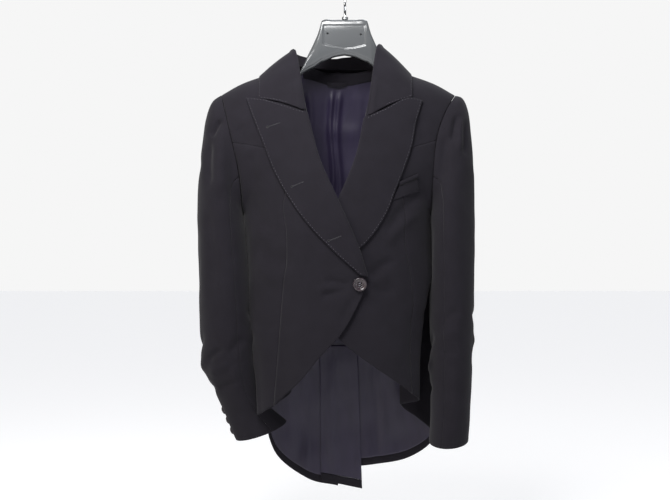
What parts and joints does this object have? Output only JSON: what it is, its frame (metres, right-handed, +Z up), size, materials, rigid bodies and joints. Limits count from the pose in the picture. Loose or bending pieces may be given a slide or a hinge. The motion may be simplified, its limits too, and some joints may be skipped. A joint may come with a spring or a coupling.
{
  "type": "tuxedo jacket on a hanger",
  "caption": "Black cutaway tail jacket with peak lapels, a single front button and long sleeves, hung on a wide-necked plastic suit hanger.",
  "frame": {"origin": "the inner top of the hanger's hook, where a rail would carry it", "axes": "+Z up; +X to the viewer's right, which is the wearer's left; the jacket's front faces -Y"},
  "size_m": [0.4849, 0.1681, 0.8898],
  "materials": {
    "wool": "matte fine twill suiting",
    "lining_satin": "soft satin lining",
    "button_resin": "polished horn-look resin",
    "hanger_plastic": "glossy moulded plastic",
    "hook_steel": "bright plated wire"
  },
  "bodies": {
    "root": {"front_yoke_right": "wool", "front_yoke_left": "wool", "front_right": "wool", "front_left": "wool", "side_front_right": "wool", "side_front_left": "wool", "back_right": "wool", "back_left": "wool", "upper_sleeve_right": "wool", "upper_sleeve_left": "wool", "under_sleeve_right": "wool", "under_sleeve_left": "wool", "lapel_right": "wool", "lapel_left": "wool", "collar_fall": "wool", "collar_stand": "wool", "neck_facing": "wool", "breast_pocket_welt": "wool", "hanger_loop": "wool", "back_lining": "lining_satin", "vent_strip": "lining_satin", "front_button": "button_resin", "cuff_button_right_1": "button_resin", "cuff_button_right_2": "button_resin", "cuff_button_right_3": "button_resin", "cuff_button_left_1": "button_resin", "cuff_button_left_2": "button_resin", "cuff_button_left_3": "button_resin", "hanger": "hanger_plastic", "hook": "hook_steel"}
  },
  "joints": []
}
